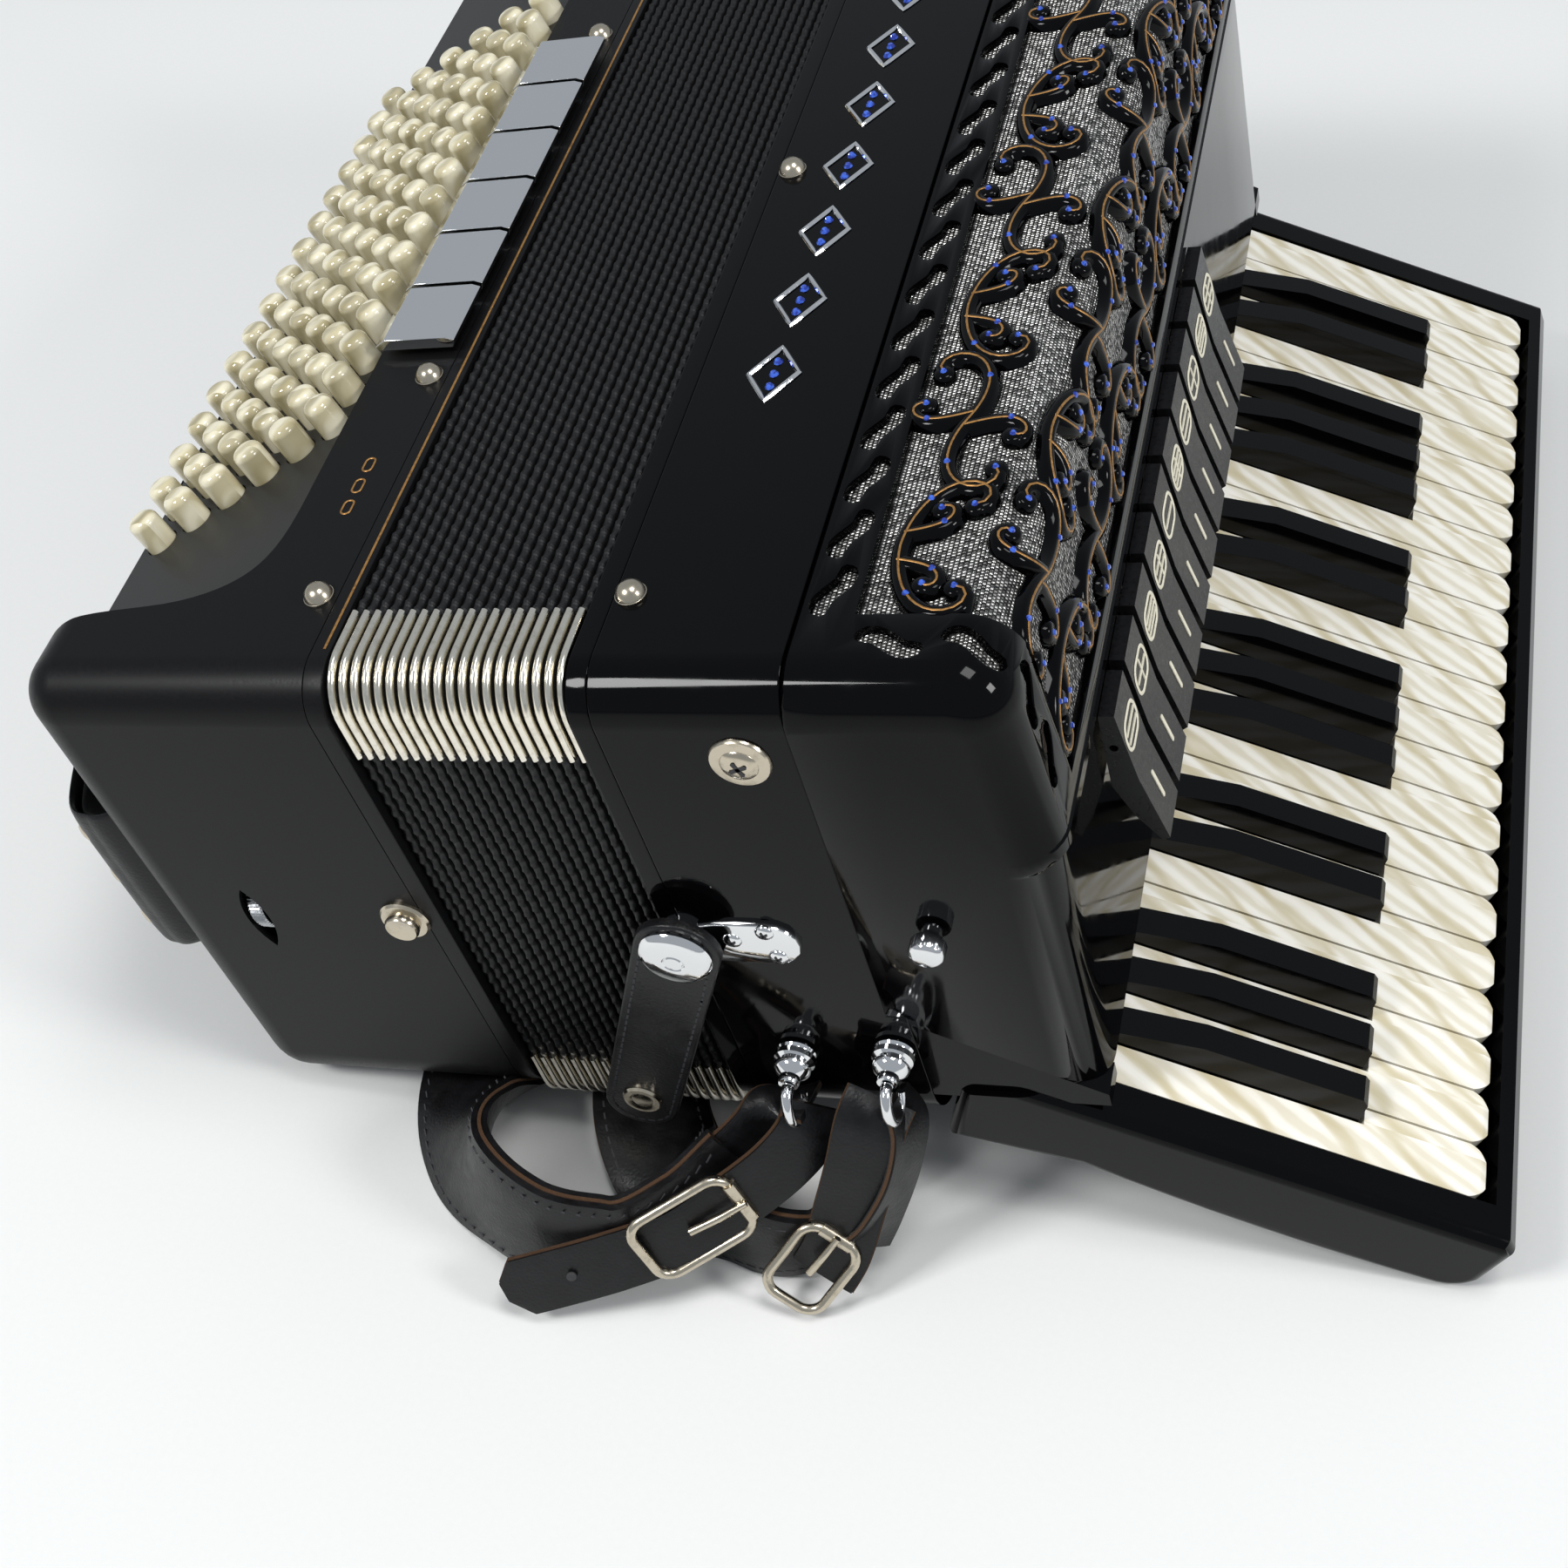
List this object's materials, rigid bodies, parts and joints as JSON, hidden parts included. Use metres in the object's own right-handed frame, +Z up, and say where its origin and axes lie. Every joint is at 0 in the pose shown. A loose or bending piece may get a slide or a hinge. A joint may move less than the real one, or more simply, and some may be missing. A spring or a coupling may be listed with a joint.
{
  "type": "piano accordion",
  "caption": "Piano accordion lying on its back: bass box with buttons, folding bellows, treble case with fretwork grille, register tabs, piano keys and leather straps.",
  "frame": {"origin": "centre of the instrument's footprint on the surface it lies on", "axes": "+Z up, +Y from the chin end to the far end, +X from the bass side to the keys; the bellows axis is tilted up 10 degrees towards the keys"},
  "size_m": [0.4734, 0.531, 0.2414],
  "materials": {
    "bass_satin": "satin black celluloid over wood",
    "button_plate": "satin black aluminium plate",
    "frame_black": "black lacquered wood",
    "reed_wood": "bare maple and pine",
    "nickel": "worn nickel and rubber feet",
    "button_pearl": "cream pearl plastic",
    "register_chrome": "bright chrome",
    "strap_leather": "black leather",
    "wheel_nickel": "knurled steel",
    "bellows_cloth": "black embossed cloth on card",
    "celluloid_black": "gloss black celluloid over wood",
    "cover_black": "gloss black cover",
    "axle_steel": "drawn steel rod",
    "tab_black": "moulded black plastic",
    "fitting_chrome": "chrome and nickel",
    "key_pearl": "cream pearl celluloid over wood",
    "key_black": "black celluloid over wood"
  },
  "bodies": {
    "bass_section": {"bass_case": "bass_satin", "bass_button_plate": "button_plate", "bass_bellows_frame": "frame_black", "bass_reed_blocks": "reed_wood", "bass_fittings": "nickel", "hand_strap": "strap_leather", "bellows_folds": "bellows_cloth"},
    "treble_section": {"treble_case": "celluloid_black", "grille_cover": "cover_black", "keyboard_frame": "celluloid_black", "key_axle": "axle_steel", "treble_bellows_frame": "frame_black", "treble_reed_blocks": "reed_wood", "treble_fittings": "fitting_chrome", "shoulder_strap_a": "strap_leather", "shoulder_strap_b": "strap_leather"},
    "bass_buttons": {"bass_buttons": "button_pearl"},
    "bass_registers": {"bass_registers": "register_chrome"},
    "strap_wheel": {"strap_wheel": "wheel_nickel"},
    "air_button": {"air_button": "button_pearl"},
    "register_tabs": {"register_tabs": "tab_black"},
    "bellows_strap_chin": {"bellows_strap_chin": "strap_leather"},
    "bellows_strap_far": {"bellows_strap_far": "strap_leather"},
    "key_white_01": {"key_white_01": "key_pearl"},
    "key_black_01": {"key_black_01": "key_black"},
    "key_white_02": {"key_white_02": "key_pearl"},
    "key_black_02": {"key_black_02": "key_black"},
    "key_white_03": {"key_white_03": "key_pearl"},
    "key_black_03": {"key_black_03": "key_black"},
    "key_white_04": {"key_white_04": "key_pearl"},
    "key_white_05": {"key_white_05": "key_pearl"},
    "key_black_04": {"key_black_04": "key_black"},
    "key_white_06": {"key_white_06": "key_pearl"},
    "key_black_05": {"key_black_05": "key_black"},
    "key_white_07": {"key_white_07": "key_pearl"},
    "key_white_08": {"key_white_08": "key_pearl"},
    "key_black_06": {"key_black_06": "key_black"},
    "key_white_09": {"key_white_09": "key_pearl"},
    "key_black_07": {"key_black_07": "key_black"},
    "key_white_10": {"key_white_10": "key_pearl"},
    "key_black_08": {"key_black_08": "key_black"},
    "key_white_11": {"key_white_11": "key_pearl"},
    "key_white_12": {"key_white_12": "key_pearl"},
    "key_black_09": {"key_black_09": "key_black"},
    "key_white_13": {"key_white_13": "key_pearl"},
    "key_black_10": {"key_black_10": "key_black"},
    "key_white_14": {"key_white_14": "key_pearl"},
    "key_white_15": {"key_white_15": "key_pearl"},
    "key_black_11": {"key_black_11": "key_black"},
    "key_white_16": {"key_white_16": "key_pearl"},
    "key_black_12": {"key_black_12": "key_black"},
    "key_white_17": {"key_white_17": "key_pearl"},
    "key_black_13": {"key_black_13": "key_black"},
    "key_white_18": {"key_white_18": "key_pearl"},
    "key_white_19": {"key_white_19": "key_pearl"},
    "key_black_14": {"key_black_14": "key_black"},
    "key_white_20": {"key_white_20": "key_pearl"},
    "key_black_15": {"key_black_15": "key_black"},
    "key_white_21": {"key_white_21": "key_pearl"},
    "key_white_22": {"key_white_22": "key_pearl"}
  },
  "joints": [
    {"name": "bellows_opening", "type": "slide", "parent": "bass_section", "child": "treble_section", "axis": [0.9837, 0, 0.1795], "range_m": [0, 0.4]},
    {"name": "bass_button_press", "type": "slide", "parent": "bass_section", "child": "bass_buttons", "axis": [0.428, 0, -0.9038], "range_m": [0, 0.0045], "stiffness_N_per_m": 900, "springref_m": -0.006},
    {"name": "bass_register_press", "type": "slide", "parent": "bass_section", "child": "bass_registers", "axis": [0.1795, 0, -0.9837], "range_m": [0, 0.0022], "stiffness_N_per_m": 800, "springref_m": -0.004},
    {"name": "strap_wheel_turn", "type": "hinge", "parent": "bass_section", "child": "strap_wheel", "pos_m": [-0.14705, -0.18558, 0.09969], "axis": [0.9837, 0, 0.1795], "continuous": true},
    {"name": "air_button_press", "type": "slide", "parent": "bass_section", "child": "air_button", "axis": [0.9837, 0, 0.1795], "range_m": [0, 0.0055], "stiffness_N_per_m": 350, "springref_m": -0.004},
    {"name": "register_rock", "type": "hinge", "parent": "treble_section", "child": "register_tabs", "pos_m": [0.10258, 0.02392, 0.1605], "axis": [0, 1, 0], "range_deg": [-2.4, 2.4]},
    {"name": "bellows_strap_chin_swing", "type": "hinge", "parent": "treble_section", "child": "bellows_strap_chin", "pos_m": [-0.00908, -0.20308, 0.12792], "axis": [0, 1, 0], "range_deg": [-12, 66.1]},
    {"name": "bellows_strap_far_swing", "type": "hinge", "parent": "treble_section", "child": "bellows_strap_far", "pos_m": [-0.00908, 0.25092, 0.12792], "axis": [0, 1, 0], "range_deg": [-12, 66.1]},
    {"name": "key_white_01_press", "type": "hinge", "parent": "treble_section", "child": "key_white_01", "pos_m": [0.08084, -0.17558, 0.06967], "axis": [0, 1, 0], "range_deg": [0, 1.9], "stiffness_Nm_per_rad": 1.8, "springref_deg": -2.86},
    {"name": "key_black_01_press", "type": "hinge", "parent": "treble_section", "child": "key_black_01", "pos_m": [0.08084, -0.16608, 0.06967], "axis": [0, 1, 0], "range_deg": [0, 1.9], "stiffness_Nm_per_rad": 1.8, "springref_deg": -2.86},
    {"name": "key_white_02_press", "type": "hinge", "parent": "treble_section", "child": "key_white_02", "pos_m": [0.08084, -0.15658, 0.06967], "axis": [0, 1, 0], "range_deg": [0, 1.9], "stiffness_Nm_per_rad": 1.8, "springref_deg": -2.86},
    {"name": "key_black_02_press", "type": "hinge", "parent": "treble_section", "child": "key_black_02", "pos_m": [0.08084, -0.14708, 0.06967], "axis": [0, 1, 0], "range_deg": [0, 1.9], "stiffness_Nm_per_rad": 1.8, "springref_deg": -2.86},
    {"name": "key_white_03_press", "type": "hinge", "parent": "treble_section", "child": "key_white_03", "pos_m": [0.08084, -0.13758, 0.06967], "axis": [0, 1, 0], "range_deg": [0, 1.9], "stiffness_Nm_per_rad": 1.8, "springref_deg": -2.86},
    {"name": "key_black_03_press", "type": "hinge", "parent": "treble_section", "child": "key_black_03", "pos_m": [0.08084, -0.12808, 0.06967], "axis": [0, 1, 0], "range_deg": [0, 1.9], "stiffness_Nm_per_rad": 1.8, "springref_deg": -2.86},
    {"name": "key_white_04_press", "type": "hinge", "parent": "treble_section", "child": "key_white_04", "pos_m": [0.08084, -0.11858, 0.06967], "axis": [0, 1, 0], "range_deg": [0, 1.9], "stiffness_Nm_per_rad": 1.8, "springref_deg": -2.86},
    {"name": "key_white_05_press", "type": "hinge", "parent": "treble_section", "child": "key_white_05", "pos_m": [0.08084, -0.09958, 0.06967], "axis": [0, 1, 0], "range_deg": [0, 1.9], "stiffness_Nm_per_rad": 1.8, "springref_deg": -2.86},
    {"name": "key_black_04_press", "type": "hinge", "parent": "treble_section", "child": "key_black_04", "pos_m": [0.08084, -0.09008, 0.06967], "axis": [0, 1, 0], "range_deg": [0, 1.9], "stiffness_Nm_per_rad": 1.8, "springref_deg": -2.86},
    {"name": "key_white_06_press", "type": "hinge", "parent": "treble_section", "child": "key_white_06", "pos_m": [0.08084, -0.08058, 0.06967], "axis": [0, 1, 0], "range_deg": [0, 1.9], "stiffness_Nm_per_rad": 1.8, "springref_deg": -2.86},
    {"name": "key_black_05_press", "type": "hinge", "parent": "treble_section", "child": "key_black_05", "pos_m": [0.08084, -0.07108, 0.06967], "axis": [0, 1, 0], "range_deg": [0, 1.9], "stiffness_Nm_per_rad": 1.8, "springref_deg": -2.86},
    {"name": "key_white_07_press", "type": "hinge", "parent": "treble_section", "child": "key_white_07", "pos_m": [0.08084, -0.06158, 0.06967], "axis": [0, 1, 0], "range_deg": [0, 1.9], "stiffness_Nm_per_rad": 1.8, "springref_deg": -2.86},
    {"name": "key_white_08_press", "type": "hinge", "parent": "treble_section", "child": "key_white_08", "pos_m": [0.08084, -0.04258, 0.06967], "axis": [0, 1, 0], "range_deg": [0, 1.9], "stiffness_Nm_per_rad": 1.8, "springref_deg": -2.86},
    {"name": "key_black_06_press", "type": "hinge", "parent": "treble_section", "child": "key_black_06", "pos_m": [0.08084, -0.03308, 0.06967], "axis": [0, 1, 0], "range_deg": [0, 1.9], "stiffness_Nm_per_rad": 1.8, "springref_deg": -2.86},
    {"name": "key_white_09_press", "type": "hinge", "parent": "treble_section", "child": "key_white_09", "pos_m": [0.08084, -0.02358, 0.06967], "axis": [0, 1, 0], "range_deg": [0, 1.9], "stiffness_Nm_per_rad": 1.8, "springref_deg": -2.86},
    {"name": "key_black_07_press", "type": "hinge", "parent": "treble_section", "child": "key_black_07", "pos_m": [0.08084, -0.01408, 0.06967], "axis": [0, 1, 0], "range_deg": [0, 1.9], "stiffness_Nm_per_rad": 1.8, "springref_deg": -2.86},
    {"name": "key_white_10_press", "type": "hinge", "parent": "treble_section", "child": "key_white_10", "pos_m": [0.08084, -0.00458, 0.06967], "axis": [0, 1, 0], "range_deg": [0, 1.9], "stiffness_Nm_per_rad": 1.8, "springref_deg": -2.86},
    {"name": "key_black_08_press", "type": "hinge", "parent": "treble_section", "child": "key_black_08", "pos_m": [0.08084, 0.00492, 0.06967], "axis": [0, 1, 0], "range_deg": [0, 1.9], "stiffness_Nm_per_rad": 1.8, "springref_deg": -2.86},
    {"name": "key_white_11_press", "type": "hinge", "parent": "treble_section", "child": "key_white_11", "pos_m": [0.08084, 0.01442, 0.06967], "axis": [0, 1, 0], "range_deg": [0, 1.9], "stiffness_Nm_per_rad": 1.8, "springref_deg": -2.86},
    {"name": "key_white_12_press", "type": "hinge", "parent": "treble_section", "child": "key_white_12", "pos_m": [0.08084, 0.03342, 0.06967], "axis": [0, 1, 0], "range_deg": [0, 1.9], "stiffness_Nm_per_rad": 1.8, "springref_deg": -2.86},
    {"name": "key_black_09_press", "type": "hinge", "parent": "treble_section", "child": "key_black_09", "pos_m": [0.08084, 0.04292, 0.06967], "axis": [0, 1, 0], "range_deg": [0, 1.9], "stiffness_Nm_per_rad": 1.8, "springref_deg": -2.86},
    {"name": "key_white_13_press", "type": "hinge", "parent": "treble_section", "child": "key_white_13", "pos_m": [0.08084, 0.05242, 0.06967], "axis": [0, 1, 0], "range_deg": [0, 1.9], "stiffness_Nm_per_rad": 1.8, "springref_deg": -2.86},
    {"name": "key_black_10_press", "type": "hinge", "parent": "treble_section", "child": "key_black_10", "pos_m": [0.08084, 0.06192, 0.06967], "axis": [0, 1, 0], "range_deg": [0, 1.9], "stiffness_Nm_per_rad": 1.8, "springref_deg": -2.86},
    {"name": "key_white_14_press", "type": "hinge", "parent": "treble_section", "child": "key_white_14", "pos_m": [0.08084, 0.07142, 0.06967], "axis": [0, 1, 0], "range_deg": [0, 1.9], "stiffness_Nm_per_rad": 1.8, "springref_deg": -2.86},
    {"name": "key_white_15_press", "type": "hinge", "parent": "treble_section", "child": "key_white_15", "pos_m": [0.08084, 0.09042, 0.06967], "axis": [0, 1, 0], "range_deg": [0, 1.9], "stiffness_Nm_per_rad": 1.8, "springref_deg": -2.86},
    {"name": "key_black_11_press", "type": "hinge", "parent": "treble_section", "child": "key_black_11", "pos_m": [0.08084, 0.09992, 0.06967], "axis": [0, 1, 0], "range_deg": [0, 1.9], "stiffness_Nm_per_rad": 1.8, "springref_deg": -2.86},
    {"name": "key_white_16_press", "type": "hinge", "parent": "treble_section", "child": "key_white_16", "pos_m": [0.08084, 0.10942, 0.06967], "axis": [0, 1, 0], "range_deg": [0, 1.9], "stiffness_Nm_per_rad": 1.8, "springref_deg": -2.86},
    {"name": "key_black_12_press", "type": "hinge", "parent": "treble_section", "child": "key_black_12", "pos_m": [0.08084, 0.11892, 0.06967], "axis": [0, 1, 0], "range_deg": [0, 1.9], "stiffness_Nm_per_rad": 1.8, "springref_deg": -2.86},
    {"name": "key_white_17_press", "type": "hinge", "parent": "treble_section", "child": "key_white_17", "pos_m": [0.08084, 0.12842, 0.06967], "axis": [0, 1, 0], "range_deg": [0, 1.9], "stiffness_Nm_per_rad": 1.8, "springref_deg": -2.86},
    {"name": "key_black_13_press", "type": "hinge", "parent": "treble_section", "child": "key_black_13", "pos_m": [0.08084, 0.13792, 0.06967], "axis": [0, 1, 0], "range_deg": [0, 1.9], "stiffness_Nm_per_rad": 1.8, "springref_deg": -2.86},
    {"name": "key_white_18_press", "type": "hinge", "parent": "treble_section", "child": "key_white_18", "pos_m": [0.08084, 0.14742, 0.06967], "axis": [0, 1, 0], "range_deg": [0, 1.9], "stiffness_Nm_per_rad": 1.8, "springref_deg": -2.86},
    {"name": "key_white_19_press", "type": "hinge", "parent": "treble_section", "child": "key_white_19", "pos_m": [0.08084, 0.16642, 0.06967], "axis": [0, 1, 0], "range_deg": [0, 1.9], "stiffness_Nm_per_rad": 1.8, "springref_deg": -2.86},
    {"name": "key_black_14_press", "type": "hinge", "parent": "treble_section", "child": "key_black_14", "pos_m": [0.08084, 0.17592, 0.06967], "axis": [0, 1, 0], "range_deg": [0, 1.9], "stiffness_Nm_per_rad": 1.8, "springref_deg": -2.86},
    {"name": "key_white_20_press", "type": "hinge", "parent": "treble_section", "child": "key_white_20", "pos_m": [0.08084, 0.18542, 0.06967], "axis": [0, 1, 0], "range_deg": [0, 1.9], "stiffness_Nm_per_rad": 1.8, "springref_deg": -2.86},
    {"name": "key_black_15_press", "type": "hinge", "parent": "treble_section", "child": "key_black_15", "pos_m": [0.08084, 0.19492, 0.06967], "axis": [0, 1, 0], "range_deg": [0, 1.9], "stiffness_Nm_per_rad": 1.8, "springref_deg": -2.86},
    {"name": "key_white_21_press", "type": "hinge", "parent": "treble_section", "child": "key_white_21", "pos_m": [0.08084, 0.20442, 0.06967], "axis": [0, 1, 0], "range_deg": [0, 1.9], "stiffness_Nm_per_rad": 1.8, "springref_deg": -2.86},
    {"name": "key_white_22_press", "type": "hinge", "parent": "treble_section", "child": "key_white_22", "pos_m": [0.08084, 0.22342, 0.06967], "axis": [0, 1, 0], "range_deg": [0, 1.9], "stiffness_Nm_per_rad": 1.8, "springref_deg": -2.86}
  ]
}
